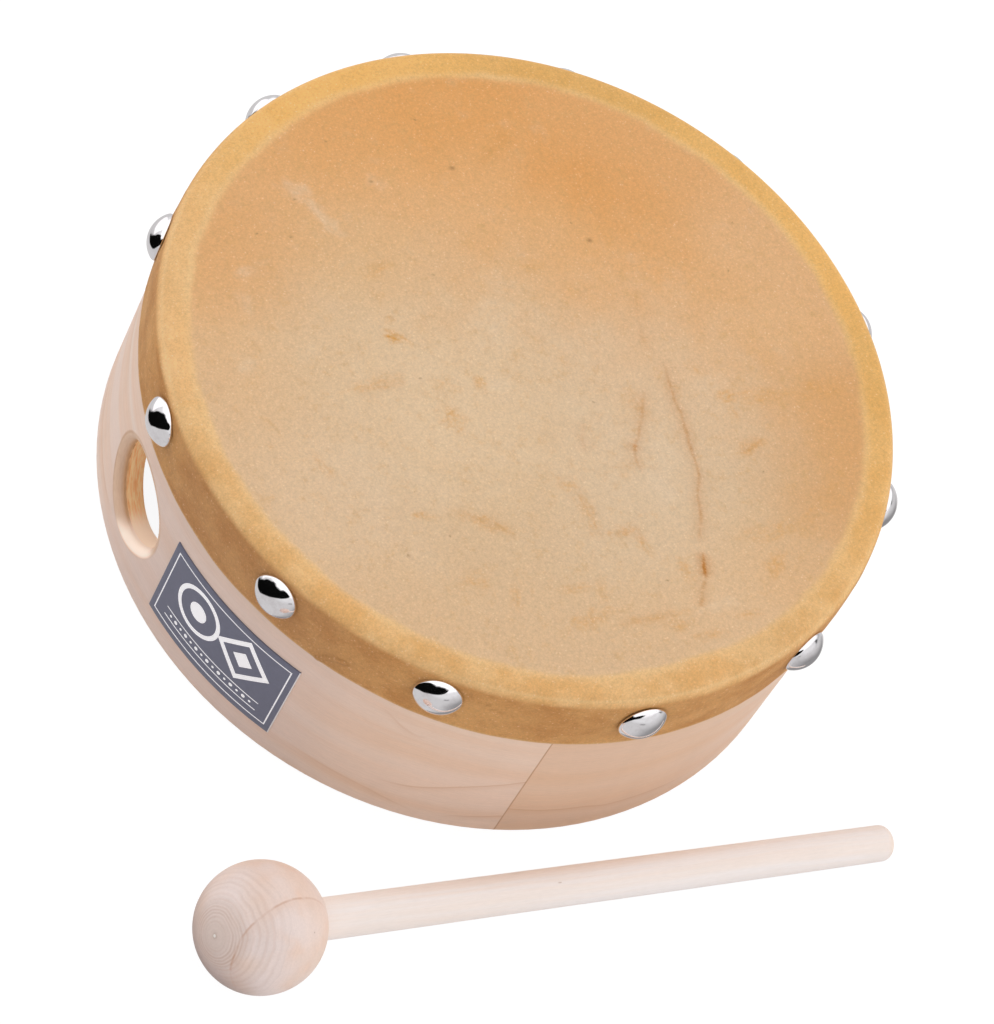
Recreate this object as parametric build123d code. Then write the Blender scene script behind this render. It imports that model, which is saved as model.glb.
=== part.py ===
from build123d import *
import os
from math import asin, degrees, hypot, sqrt

# Small tacked hand drum (fixed-head bodhran) with a ball beater, in millimetres.
# Origin: centre of the shell's open base rim. +Z runs up through the drumhead and
# -X out through the grip hole. The drum stands on its open rim, and the beater
# lies on the same table plane, in front of it (-Y side).

os.makedirs("parts", exist_ok=True)

# --- shell: two bent strips, one inside the other ----------------------------
shell_radius = 101.6        # outside of the wood (8 in drum)
shell_height = 71.2         # wood only, base rim to bearing edge
outer_ply_t = 3.0
inner_ply_t = 4.8
ply_joint_r = shell_radius - outer_ply_t      # surface between the two plies
inside_r = ply_joint_r - inner_ply_t
bearing_round = 2.7         # outside of the bearing edge, under the skin
bearing_inner_round = 1.0   # inside of the bearing edge
base_round = 0.25           # broken outer edge of the base rim
butt_gap = 0.06             # glue gap where the ends of a strip meet
outer_butt_angle = 257.75   # about Z, on the front of the drum
inner_butt_angle = outer_butt_angle - 180.0
overcut = 1.0               # how far cutters run past the faces they cut

grip_hole_r = 14.4          # round hole through the wall at -X
grip_hole_z = 26.0
grip_hole_round = 2.2       # rounding of its outer edge
grip_cutter_length = 30.0

# --- skin --------------------------------------------------------------------
skin_t = 0.9
skin_band = 21.7            # height of the folded edge, from the top of the skin
skin_r = shell_radius + skin_t
skin_top = shell_height + skin_t

# --- tacks: z in their own frame is the distance from the drum's axis --------
tack_z = 62.2               # height of the row
# angles about Z, spaced by hand
tack_angles = [2.0, 35.6, 65.1, 92.3, 116.9, 147.2,
               179.8, 211.3, 238.15, 268.9, 299.3, 330.6]
cap_r = 6.63
cap_rise = 3.5              # height of the dome
cap_wall = 0.5              # sheet thickness
cap_standoff = 1.0          # gap between the cap's rim and the skin
cap_base = skin_r + cap_standoff              # plane of the cap's rim
dome_r = (cap_r ** 2 + cap_rise ** 2) / (2.0 * cap_rise)
dome_centre = cap_base + cap_rise - dome_r

nail_r = 0.95
nail_bite = 7.0             # length below the skin's outer face
nail_point = 2.6            # length of the conical point
nail_tip_r = 0.12           # blunt end of the point
nail_tip = skin_r - nail_bite
nail_top = cap_base + cap_rise - cap_wall / 2.0
pilot_clearance = 0.01      # radial, around the nail

# --- badge -------------------------------------------------------------------
badge_from, badge_to = 193.1, 219.8           # angles about Z
badge_low, badge_high = 8.1, 40.2             # heights
badge_t = 0.45

# --- beater: modelled along +X from the ball's centre ------------------------
ball_r = 17.2
ball_x, ball_y = -100.4, -122.75
handle_reach = 188.8        # ball centre to the free end
handle_r_ball = 5.55
handle_r_end = 5.03
handle_end_round = 3.0
handle_straight = 1.5       # untapered length outside the ball
handle_heading = -0.26      # direction about Z, degrees
socket_depth = 21.0         # blind socket, from the ball's surface
socket_overrun = 5.0        # how far its cutter runs past the ball
socket_floor = ball_r - socket_depth


# --- profile helpers ---------------------------------------------------------
def chain(*points):
    """Straight edges through the points in turn."""
    return [Line(start, end) for start, end in zip(points, points[1:])]


def corner(x, y, radius):
    """Three points of the arc that rounds the upper right corner at (x, y)."""
    inset = radius * (1.0 - sqrt(0.5))
    return [(x - radius, y), (x - inset, y - inset), (x, y - radius)]


def ring(r0, r1, z0, z1, sweep=360.0):
    """Rectangular section r0..r1 by z0..z1, turned about Z from +X."""
    outline = Polyline((r0, z0), (r1, z0), (r1, z1), (r0, z1), close=True)
    return revolve(make_face(Plane.XZ * outline), Axis.Z, revolution_arc=sweep)


# --- tacks -------------------------------------------------------------------
def make_cap():
    """Hollow dome, cut off at the plane of its rim."""
    keep_width, keep_height = 40, 20
    outside = Pos(0, 0, dome_centre) * Sphere(dome_r)
    hollow = Pos(0, 0, dome_centre) * Sphere(dome_r - cap_wall)
    keep = Pos(0, 0, cap_base + keep_height / 2.0) * Box(keep_width, keep_width, keep_height)
    return (outside - hollow) & keep


def nail_shape(growth, top):
    """Straight shank with a conical point, grown sideways by growth."""
    radius = nail_r + growth
    shank_base = nail_tip + nail_point
    shank = Pos(0, 0, (shank_base + top) / 2.0) * Cylinder(radius, top - shank_base)
    point = Pos(0, 0, nail_tip + nail_point / 2.0) * Cone(nail_tip_r + growth, radius, nail_point)
    return shank + point


def make_nail(cap):
    """Nail seated against the inside of the dome."""
    nail = nail_shape(0.0, nail_top) - cap
    return max(nail.solids(), key=lambda solid: solid.volume)


def around_shell(shape):
    """One copy of the shape at each tack, its +Z pointing straight outwards."""
    return [Rot(0, 0, angle) * Pos(0, 0, tack_z) * Rot(0, 90, 0) * shape
            for angle in tack_angles]


pilots = around_shell(nail_shape(pilot_clearance, skin_r + overcut))


def drill(part):
    """Cut the pilot holes of all the nails."""
    for pilot in pilots:
        part = part - pilot
    return part


# --- shell -------------------------------------------------------------------
def rim(part, radius, z):
    """Circular edges of this radius at this height."""
    return part.edges().filter_by(GeomType.CIRCLE).filter_by(
        lambda edge: abs(edge.center().Z - z) < 1e-6 and abs(edge.radius - radius) < 1e-6)


def grip_cutter():
    return (Pos(-(inside_r + shell_radius) / 2.0, 0, grip_hole_z) * Rot(0, 90, 0)
            * Cylinder(grip_hole_r, grip_cutter_length))


def butt_cutter(angle, r0, r1):
    """Thin full-height blade where a strip's two ends meet."""
    blade = Box(r1 - r0 + 2 * overcut, butt_gap, shell_height + 2 * overcut)
    return Rot(0, 0, angle) * Pos((r0 + r1) / 2.0, 0, shell_height / 2.0) * blade


def on_grip_hole_rim(edge):
    """True for edges where the grip hole meets the outside of the shell."""
    tolerance = 0.05
    samples = [edge @ t for t in (0.05, 0.3, 0.55, 0.8)]
    return all(abs(hypot(p.Y, p.Z - grip_hole_z) - grip_hole_r) < tolerance
               and abs(hypot(p.X, p.Y) - shell_radius) < tolerance
               and p.X < 0 for p in samples)


def make_outer_ply():
    ply = ring(ply_joint_r, shell_radius, 0, shell_height)
    ply = fillet(rim(ply, shell_radius, shell_height), bearing_round)
    ply = fillet(rim(ply, shell_radius, 0), base_round)
    ply = ply - grip_cutter()
    hole_edges = [edge for edge in ply.edges() if on_grip_hole_rim(edge)]
    ply = fillet(hole_edges, grip_hole_round)
    ply = ply - butt_cutter(outer_butt_angle, ply_joint_r, shell_radius)
    return drill(ply)


def make_inner_ply():
    ply = ring(inside_r, ply_joint_r, 0, shell_height)
    ply = fillet(rim(ply, inside_r, shell_height), bearing_inner_round)
    ply = ply - grip_cutter() - butt_cutter(inner_butt_angle, inside_r, ply_joint_r)
    return drill(ply)


# --- skin --------------------------------------------------------------------
def make_drumhead():
    """Flat membrane, rolled over the bearing edge and folded down the side."""
    over = corner(skin_r, skin_top, bearing_round + skin_t)
    under = corner(shell_radius, shell_height, bearing_round)
    band_z = skin_top - skin_band
    outline = Wire([
        *chain((0, skin_top), over[0]),
        ThreePointArc(*over),
        *chain(over[-1], (skin_r, band_z), (shell_radius, band_z), under[-1]),
        ThreePointArc(*reversed(under)),
        *chain(under[0], (0, shell_height), (0, skin_top)),
    ])
    return drill(revolve(make_face(Plane.XZ * outline), Axis.Z))


# --- badge -------------------------------------------------------------------
def make_badge():
    """Thin curved plate on the outer strip."""
    plate = ring(shell_radius, shell_radius + badge_t, badge_low, badge_high,
                 badge_to - badge_from)
    return Rot(0, 0, badge_from) * plate


# --- beater ------------------------------------------------------------------
def make_ball():
    """Ball with a blind socket for the handle."""
    cutter_end = ball_r + socket_overrun
    socket = (Pos((socket_floor + cutter_end) / 2.0, 0, 0) * Rot(0, 90, 0)
              * Cylinder(handle_r_ball, cutter_end - socket_floor))
    return Sphere(ball_r) - socket


def make_handle():
    """Straight in the socket, then tapering to a rounded free end."""
    ball_exit = sqrt(ball_r ** 2 - handle_r_ball ** 2)
    end = corner(handle_reach, handle_r_end, handle_end_round)
    outline = Wire([
        *chain((socket_floor, 0), (socket_floor, handle_r_ball),
               (ball_exit + handle_straight, handle_r_ball), end[0]),
        ThreePointArc(*end),
        *chain(end[-1], (handle_reach, 0), (socket_floor, 0)),
    ])
    return revolve(make_face(Plane.XZ * outline), Axis.X)


# tilted so that both the ball and the handle's free end rest on the table
beater_tilt = degrees(asin((ball_r - handle_r_end) / (handle_reach - handle_end_round)))
beater_frame = Pos(ball_x, ball_y, ball_r) * Rot(0, 0, handle_heading) * Rot(0, beater_tilt, 0)

# --- one STEP file per piece -------------------------------------------------
cap = make_cap()
pieces = {
    "shell_outer_ply": make_outer_ply(),
    "shell_inner_ply": make_inner_ply(),
    "drumhead": make_drumhead(),
    "tack_caps": Compound(around_shell(cap)),
    "tack_nails": Compound(around_shell(make_nail(cap))),
    "badge": make_badge(),
    "mallet_ball": beater_frame * make_ball(),
    "mallet_handle": beater_frame * make_handle(),
}
for name, shape in pieces.items():
    export_step(shape, f"parts/{name}.step")
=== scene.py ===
"""Hand drum with a nailed natural skin, and its wooden beater.

The drum stands on the floor (z = 0) with its axis on Z: a shell of two glued wood strips, a
skin folded over the rim and held by twelve domed tacks, a grip hole on the -X side and a badge
at about 206 degrees. The beater, a ball on a tapered handle, lies in front on the -Y side with
its handle running towards +X. Lengths are in millimetres, scaled to metres where meshes are
made. Angles round the drum are degrees from +X towards +Y.
"""

import math
from functools import cached_property
from itertools import product

import bmesh
import bpy
import numpy as np
from mathutils import Matrix, Vector


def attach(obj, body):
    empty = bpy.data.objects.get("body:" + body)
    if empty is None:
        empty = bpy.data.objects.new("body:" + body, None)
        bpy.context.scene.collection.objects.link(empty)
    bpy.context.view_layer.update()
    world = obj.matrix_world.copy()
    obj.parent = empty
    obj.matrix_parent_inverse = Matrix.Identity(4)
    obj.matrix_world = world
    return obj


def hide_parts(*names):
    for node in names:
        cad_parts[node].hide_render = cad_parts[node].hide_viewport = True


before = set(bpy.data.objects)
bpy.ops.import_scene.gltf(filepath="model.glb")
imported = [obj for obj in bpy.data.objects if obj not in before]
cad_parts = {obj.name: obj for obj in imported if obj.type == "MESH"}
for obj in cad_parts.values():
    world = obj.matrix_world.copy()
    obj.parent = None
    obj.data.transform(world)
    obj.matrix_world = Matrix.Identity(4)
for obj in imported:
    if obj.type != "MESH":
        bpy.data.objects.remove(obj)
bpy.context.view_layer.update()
MM = 0.001
PI = math.pi
DEGREES = 57.29578              # degrees in a radian, as used in the shaders

# ---------------------------------------------------------------------------
# driving sizes, in millimetres and degrees
# ---------------------------------------------------------------------------
SHELL_R = 101.6                 # outside of the wooden shell
WOOD_TOP = 71.2                 # bearing edge
SKIN_T = 0.9
SKIN_R = SHELL_R + SKIN_T
SKIN_TOP = WOOD_TOP + SKIN_T
BAND_LOW = 50.4                 # cut edge of the folded skin
ROLL = 3.6                      # radius of the skin's rounded corner
CREST = 1.22                    # painted highlight line on that corner, in from the skin's outside
HOLE_Z = 26.0                   # centre of the grip hole
SEAM = 257.75                   # where the outer strip's ends meet; the inner's meet opposite

TACK_R, TACK_H = 6.63, 3.5
TACK_T = 0.5                    # metal thickness
TACK_Z = 62.2
TACK_OFF = 1.0                  # cap datum, out from the skin
TACK_ANGLES = [2.0, 35.6, 65.1, 92.3, 116.9, 147.2, 179.8, 211.3, 238.15, 268.9, 299.3, 330.6]

BADGE_START, BADGE_END = 193.1, 219.8
BADGE_LOW, BADGE_HIGH = 8.1, 40.2
BADGE_ANGLE = (BADGE_START + BADGE_END) / 2
BADGE_Z = (BADGE_LOW + BADGE_HIGH) / 2

BALL_R = 17.2
BALL_AT = Vector((-100.4, -122.75, BALL_R))
SOCKET_FLOOR = BALL_R - 21.0    # x of the blind socket's floor in the beater's frame
ROD_BALL, ROD_END = 5.55, 5.03  # handle radius at the ball and at the free end
ROD_L, ROD_ROUND = 188.8, 3.0   # handle's end, from the ball's centre, and its rounding
TILT = math.asin((BALL_R - ROD_END) / (ROD_L - ROD_ROUND))   # free end rests on the floor
HEADING = math.radians(-0.26)
# world directions of the ball's turning axis and of the normal of its dark growth layer
POLE = Vector((-0.894, -0.1796, 0.4105)).normalized()
LAYER_NORMAL = Vector((0.2295, -0.8821, 0.4114)).normalized()


def to_beater(direction):
    """A world direction in the beater's own frame, where X runs along the handle."""
    turn = Matrix.Rotation(HEADING, 3, "Z") @ Matrix.Rotation(TILT, 3, "Y")
    return turn.transposed() @ direction


# ---------------------------------------------------------------------------
# seeded gradient noise and curves, for geometry
# ---------------------------------------------------------------------------
noise_rng = np.random.RandomState(20)
NOISE_HASH = np.arange(256)
noise_rng.shuffle(NOISE_HASH)
NOISE_GRADS = noise_rng.normal(size=(256, 3))
NOISE_GRADS /= np.linalg.norm(NOISE_GRADS, axis=1)[:, None]


def points(x, y, z):
    """(n, 3) array from columns; a plain number fills its column."""
    return np.stack(np.broadcast_arrays(x, y, z), 1)


def gnoise(where):
    """Gradient noise, about -0.6..0.6, at an (n, 3) array of points."""
    cell = np.floor(where).astype(int)
    part = where - cell
    fade = part * part * part * (part * (part * 6 - 15) + 10)
    total = 0.0
    for corner in product((0, 1), repeat=3):
        key = 0
        for axis in range(3):
            key = NOISE_HASH[(key + cell[:, axis] + corner[axis]) & 255]
        slope = ((part - np.array(corner)) * NOISE_GRADS[key]).sum(1)
        total = total + np.where(corner, fade, 1 - fade).prod(1) * slope
    return total


def fbm(where):
    """Three octaves of gradient noise, each half as strong as the last."""
    return sum(0.5 ** i * gnoise(where * 2.0 ** i + 17.3 * i) for i in range(3))


def smooth(value, start, end):
    """Smoothstep from 0 at start to 1 at end; start may be the larger."""
    t = np.clip((value - start) / (end - start), 0, 1)
    return t * t * (3 - 2 * t)


def bell(distance, width):
    return np.exp(-(distance / width) ** 2)


def path_distance(x, y, path):
    """Distance to a polyline, and how far along it (0..1)."""
    lengths = np.linalg.norm(np.diff(path, axis=0), axis=1)
    starts = np.concatenate([[0], np.cumsum(lengths)])
    best = np.full(x.shape, 1e9)
    along = np.zeros(x.shape)
    for i, length in enumerate(lengths):
        start = path[i]
        run = path[i + 1] - start
        t = np.clip(((x - start[0]) * run[0] + (y - start[1]) * run[1]) / (run @ run), 0, 1)
        distance = np.hypot(x - start[0] - t * run[0], y - start[1] - t * run[1])
        nearer = distance < best
        best = np.where(nearer, distance, best)
        along = np.where(nearer, (starts[i] + t * length) / starts[-1], along)
    return best, along


def soften(path, steps=8):
    """Catmull-Rom curve through the points."""
    p = np.asarray(path, float)
    p = np.vstack([2 * p[0] - p[1], p, 2 * p[-1] - p[-2]])
    out = []
    for i in range(1, len(p) - 2):
        before, here, after, later = p[i - 1:i + 3]
        for t in np.linspace(0, 1, steps, endpoint=False):
            out.append(0.5 * (2 * here + (after - before) * t
                              + (2 * before - 5 * here + 4 * after - later) * t * t
                              + (3 * here - before - 3 * after + later) * t ** 3))
    out.append(p[-2])
    return np.array(out)


# ---------------------------------------------------------------------------
# mesh helpers
# ---------------------------------------------------------------------------
def link(name, data):
    ob = bpy.data.objects.new(name, data)
    bpy.context.scene.collection.objects.link(ob)
    return ob


def solid(name, verts, faces, mats, face_mat=None, attrs=None):
    """Smooth-shaded object with its normals outward; attrs holds one value per vertex."""
    me = bpy.data.meshes.new(name)
    me.from_pydata([tuple(v) for v in np.asarray(verts) * MM], [], faces)
    for mat in mats:
        me.materials.append(mat)
    if face_mat is not None:
        me.polygons.foreach_set("material_index", np.asarray(face_mat, np.int32))
    for key, values in (attrs or {}).items():
        layer = me.attributes.new(key, "FLOAT", "POINT")
        layer.data.foreach_set("value", np.asarray(values, np.float32))
    me.update()
    ob = link(name, me)
    me.polygons.foreach_set("use_smooth", np.ones(len(me.polygons), bool))
    bm = bmesh.new()
    bm.from_mesh(me)
    bmesh.ops.recalc_face_normals(bm, faces=bm.faces)
    bm.to_mesh(me)
    bm.free()
    return ob


def lathe_faces(rows, segs):
    """Quads of a grid that wraps round, then a fan to a pole vertex at each end."""
    faces = []
    for i in range(rows - 1):
        a = i * segs
        b = a + segs
        for j in range(segs):
            k = (j + 1) % segs
            faces.append((a + j, a + k, b + k, b + j))
    first_pole = rows * segs
    last_row = first_pole - segs
    faces += [(first_pole, (j + 1) % segs, j) for j in range(segs)]
    faces += [(first_pole + 1, last_row + j, last_row + (j + 1) % segs) for j in range(segs)]
    return faces


def circle_angles(segs):
    return np.arange(segs) * 2 * PI / segs


# ---------------------------------------------------------------------------
# shader graphs
# ---------------------------------------------------------------------------
def srgb(*rgb):
    """Linear RGBA of an sRGB colour given as 0..255."""
    def linear(c):
        c = c / 255.0
        return c / 12.92 if c <= 0.04045 else ((c + 0.055) / 1.055) ** 2.4
    return (*map(linear, rgb), 1.0)


class Value:
    """A node's output. Arithmetic on it adds Math nodes to its graph."""
    def __init__(self, graph, socket):
        self.graph = graph
        self.socket = socket

    def __add__(self, other):
        return self.graph.math("ADD", self, other)

    def __radd__(self, other):
        return self.graph.math("ADD", other, self)

    def __sub__(self, other):
        return self.graph.math("SUBTRACT", self, other)

    def __rsub__(self, other):
        return self.graph.math("SUBTRACT", other, self)

    def __mul__(self, other):
        return self.graph.math("MULTIPLY", self, other)

    def __abs__(self):
        return self.graph.math("ABSOLUTE", self)

    def max(self, other):
        return self.graph.math("MAXIMUM", self, other)

    def min(self, other):
        return self.graph.math("MINIMUM", self, other)

    def ramp(self, start, end, first=0.0, last=1.0):
        """Smoothstep: first at start, last at end; start may be the larger."""
        if start > end:
            start, end, first, last = end, start, last, first
        return self.graph.node("MapRange", {
            "Value": self, "From Min": start, "From Max": end, "To Min": first, "To Max": last,
        }, interpolation_type="SMOOTHSTEP")


class Graph:
    """Builds nodes in a tree, which it empties first."""
    def __init__(self, tree):
        self.tree = tree
        tree.nodes.clear()

    def new(self, kind, inputs=None, **props):
        """A node; inputs maps each socket's name or index to a number or a Value."""
        node = self.tree.nodes.new("ShaderNode" + kind)
        for key, value in props.items():
            setattr(node, key, value)
        for key, value in (inputs or {}).items():
            if isinstance(value, Value):
                self.tree.links.new(value.socket, node.inputs[key])
            else:
                node.inputs[key].default_value = value
        return node

    def node(self, kind, inputs=None, out=0, **props):
        return Value(self, self.new(kind, inputs, **props).outputs[out])

    def outputs(self, kind, inputs=None):
        return {out.name: Value(self, out) for out in self.new(kind, inputs).outputs}

    def math(self, op, *values, clamp=False):
        return self.node("Math", dict(enumerate(values)), operation=op, use_clamp=clamp)

    def hypot(self, a, b):
        return self.math("SQRT", a * a + b * b)

    def vec(self, op, *vectors, **inputs):
        out = "Value" if op in ("DOT_PRODUCT", "LENGTH") else 0
        return self.node("VectorMath", {**dict(enumerate(vectors)), **inputs}, out, operation=op)

    def scaled(self, vector, factor):
        """A vector or a colour times a number."""
        return self.vec("SCALE", vector, Scale=factor)

    def join(self, xyz):
        return self.node("CombineXYZ", dict(enumerate(xyz)))

    def split(self, vector):
        return self.outputs("SeparateXYZ", {0: vector}).values()

    def noise(self, at, scale=1.0, detail=2.0, rough=0.5, out=0):
        """Noise at a vector, or at a tuple of three coordinates; out=1 gives its colour."""
        if isinstance(at, tuple):
            at = self.join(at)
        return self.node("TexNoise", {"Vector": at, "Scale": scale, "Detail": detail,
                                      "Roughness": rough}, out)

    def voronoi(self, at, scale=1.0):
        """Distance to the nearest cell centre."""
        if isinstance(at, tuple):
            at = self.join(at)
        return self.node("TexVoronoi", {"Vector": at, "Scale": scale}, "Distance")

    def mix(self, amount, base, over):
        """Blend from base to over; each is a Value or an sRGB triple."""
        base, over = (srgb(*c) if isinstance(c, tuple) else c for c in (base, over))
        return self.node("Mix", {0: amount, 6: base, 7: over}, 2, data_type="RGBA",
                         blend_type="MIX", clamp_factor=True)

    def tint(self, color, *layers):
        """Lay (amount, colour) pairs over a colour, in order."""
        for amount, over in layers:
            color = self.mix(amount, color, over)
        return color

    def curve(self, x, table):
        """Smooth y(x) through (x, y) points, both scaled to the curve's 0..1."""
        xs, ys = zip(*table)
        x_min, y_min = min(xs), min(ys)
        x_span, y_span = max(xs) - x_min, max(ys) - y_min
        node = self.new("FloatCurve")
        places = sorted(((a - x_min) / x_span, (b - y_min) / y_span) for a, b in table)
        stations = node.mapping.curves[0].points
        stations[0].location = places[0]
        stations[1].location = places[-1]
        for place in places[1:-1]:
            stations.new(*place)
        node.mapping.use_clip = True
        node.mapping.update()
        scaled_x = self.math("DIVIDE", x - x_min, x_span, clamp=True)
        self.tree.links.new(scaled_x.socket, node.inputs["Value"])
        return Value(self, node.outputs[0]) * y_span + y_min

    def attr(self, name):
        return self.node("Attribute", out="Fac", attribute_name=name)

    def bump(self, height, depth, strength):
        """Normal from a height; depth is in millimetres."""
        return self.node("Bump", {"Height": height, "Distance": depth * MM,
                                  "Strength": strength})

    def mix_shader(self, amount, first, second):
        return self.node("MixShader", {0: amount, 1: first, 2: second})


class Material(Graph):
    """A new material, with object coordinates in millimetres."""
    def __init__(self, name):
        self.mat = bpy.data.materials.new(name)
        self.mat.use_nodes = True
        super().__init__(self.mat.node_tree)

    @cached_property
    def place(self):
        return self.scaled(self.node("TexCoord", out="Object"), 1000.0)

    @cached_property
    def xyz(self):
        return tuple(self.split(self.place))

    def finish(self, translucent=0.0, **inputs):
        """Principled surface; keywords are its inputs, with _ for a space."""
        shader = self.node("BsdfPrincipled", {k.replace("_", " "): v for k, v in inputs.items()})
        if translucent:
            through = self.node("BsdfTranslucent", {"Color": inputs["Base_Color"]})
            shader = self.mix_shader(translucent, shader, through)
        self.new("OutputMaterial", {"Surface": shader})
        return self.mat


def line_mask(distance, width, soft):
    """1 on a line, 0 away from it, from the signed distance to it."""
    return abs(distance).ramp(width + soft, max(width - soft, 0.0))


# ---------------------------------------------------------------------------
# shell wood
# ---------------------------------------------------------------------------
def strip_coords(mat, cut_angle):
    """Arc length from the strip's middle, and radius. The arc is cut where its ends meet."""
    x, y, _ = mat.xyz
    turn = math.radians(cut_angle - 180.0)
    ahead = x * math.cos(turn) + y * math.sin(turn)
    aside = y * math.cos(turn) - x * math.sin(turn)
    return mat.math("ARCTAN2", aside, ahead) * SHELL_R, mat.hypot(x, y)


def arc(angle):
    """Arc length of an angle on the outer strip, as strip_coords measures it."""
    return math.radians((angle - (SEAM - 180.0) + 180.0) % 360.0 - 180.0) * SHELL_R


def hole_coords(mat):
    """Height above the grip hole's centre, distance from its axis, and the distance
    towards the lower, -Y part of its wall."""
    _, y, z = mat.xyz
    rise = z - HOLE_Z
    return rise, mat.hypot(y, rise), y * -0.57 + rise * -0.82


# brown growth lines of the outer strip: (angle, height) points, half width, strength
GROWTH_LINES = [
    ([(236, 13.2), (241, 14.5), (244.5, 16.8), (249.5, 21), (253.6, 24.1), (257.7, 27.5)],
     0.24, 0.46),
    ([(247, 2), (250, 4.9), (253, 6.1), (257.7, 8)], 0.22, 0.42),
    ([(257.8, 12.3), (260.1, 11.9), (265, 11.3), (269.6, 11.2), (273.7, 9.7), (279, 9.2),
      (290, 7.5)], 0.24, 0.46),
    ([(231, 47), (233.9, 43.7), (237.7, 39.7), (239.4, 39.2), (240.6, 43.3), (242.1, 47.8)],
     0.50, 0.30),
    ([(222, 9), (231, 8.2), (240, 5.5), (246, 2)], 0.22, 0.30),
    ([(300, 33), (315, 30), (335, 31.5), (358, 27)], 0.30, 0.40),
    ([(20, 14), (45, 17), (80, 15), (115, 19)], 0.30, 0.45),
    ([(60, 36), (90, 39), (130, 35), (165, 37.5)], 0.28, 0.35),
    ([(140, 8), (162, 6.5), (178, 9)], 0.28, 0.30),
]


def growth_lines(mat, along, color):
    z = mat.xyz[2]
    wobble = (mat.noise((along * 0.07, z * 0.07, 0.0), detail=1) - 0.5) * 0.9
    for path, width, strength in GROWTH_LINES:
        stations = [(arc(angle), height) for angle, height in path]
        if stations[-1][0] < stations[0][0]:
            stations.reverse()
        height = mat.curve(along, stations)
        # an end fades over 12 mm, unless it runs into the seam
        start, end = stations[0][0], stations[-1][0]
        start_fade, end_fade = (12.0 if abs(abs(s) - 319) > 2 else 0.0 for s in (start, end))
        inside = (along.ramp(start - 0.6, start + start_fade)
                  * along.ramp(end + 0.6, end - end_fade))
        above = z - height + wobble
        # sharp above, fading downwards like late wood
        line = inside * line_mask(above, width, soft=0.42)
        halo = inside * above.ramp(0.3, 0.0) * above.ramp(-3.4, 0.0) * 0.38
        color = mat.mix(line.max(halo) * strength, color, (208, 154, 108))
    return color


def shell_outer_material():
    mat = Material("outer_strip_wood")
    x, y, z = mat.xyz
    along, radius = strip_coords(mat, SEAM)
    # grain runs round the shell and wanders a little up and down
    grain_z = z + (mat.noise((along * 0.010, z * 0.012, 0.0)) - 0.5) * 14.0
    bands = mat.noise((along * 0.0035, grain_z * 0.11, radius * 0.05), detail=3, rough=0.55)
    fibre = mat.noise((along * 0.10, grain_z * 2.3, radius * 1.0), detail=3, rough=0.6)
    fleck = mat.noise((along * 0.42, grain_z * 3.6, radius * 2.0), detail=1)
    blotch = mat.noise((along * 0.020, z * 0.035, 3.0))
    curl = mat.noise((along * 0.16, z * 0.018, 7.0), detail=1, rough=0.4)
    # short dark pores lying along the grain
    dash = mat.voronoi((along * 0.30, grain_z * 1.5, radius * 0.3))

    color = mat.tint(
        mat.mix(bands.ramp(0.35, 0.72, last=0.85), (243, 219, 204), (238, 197, 166)),
        (blotch.ramp(0.35, 0.75, last=0.45), (240, 213, 201)),
        # warmer near the seam, most of all just past it
        (abs(along).ramp(175.0, 300.0) * 0.42, (238, 201, 172)),
        (along.ramp(-195.0, -285.0) * 0.50, (226, 183, 146)),
        # cooler from the grip hole to the badge
        (along.ramp(arc(168.0), arc(190.0)) * along.ramp(arc(236.0), arc(214.0)) * 0.50,
         (222, 198, 189)))
    color = mat.scaled(color, 1.0 + (fibre - 0.5) * 0.15 + (fleck - 0.5) * 0.11
                       + (curl - 0.5) * 0.06 + dash.ramp(0.20, 0.06) * -0.045
                       + (mat.noise(mat.place, scale=1.9, rough=0.6) - 0.5) * 0.055)
    color = growth_lines(mat, along, color)
    # edges of the glued butt seam
    seam_gap = 319.18 - abs(along)
    color = mat.mix(seam_gap.ramp(0.32, 0.08) * 0.55, color, (190, 134, 88))

    # end grain in the hole, with painted light making it palest low on its -Y side
    rise, hole_r, well = hole_coords(mat)
    at_hole = hole_r.ramp(17.3, 16.5) * x.ramp(-80.0, -90.0)
    end_grain = mat.noise((rise * 0.5, radius * 2.6, y * 0.5), detail=3)
    lip_color = mat.tint(mat.mix(end_grain, (220, 184, 156), (238, 206, 180)),
                         (well.ramp(10.0, 14.2, last=0.95), (255, 236, 220)))
    color = mat.mix(at_hole, color, lip_color)
    # deeper orange inside the wall, faded low on its -Y side where the painted light is
    deep = radius.ramp(100.2, 98.9) * hole_r.ramp(15.6, 14.9) * x.ramp(-80.0, -90.0)
    color = mat.mix(deep * well.ramp(9.5, 13.0, first=0.75, last=0.10), color,
                    mat.mix(end_grain, (214, 160, 108), (240, 196, 148)))
    # broken brown line round the hole's lip
    lip = abs(hole_r - 16.75).ramp(0.65, 0.10) * x.ramp(-80.0, -90.0)
    broken = mat.noise((rise * 0.12, y * 0.12, 4.0), detail=1)
    color = mat.mix(lip * broken.ramp(0.25, 0.7, first=0.12, last=0.45), color, (196, 142, 98))

    height = fibre * 0.6 + fleck * 0.4 + bands * 0.4 + dash.ramp(0.20, 0.05) * -0.5
    # the lower -Y part of the hole's wall glows faintly: painted light
    return mat.finish(
        Base_Color=color, Roughness=0.42 + fibre * 0.16,
        Normal=mat.bump(height, depth=0.06, strength=0.5), Coat_Weight=0.06,
        Coat_Roughness=0.35, Specular_IOR_Level=0.28, Emission_Color=srgb(255, 226, 206),
        Emission_Strength=at_hole * well.ramp(10.5, 14.5) * 0.15)


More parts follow.
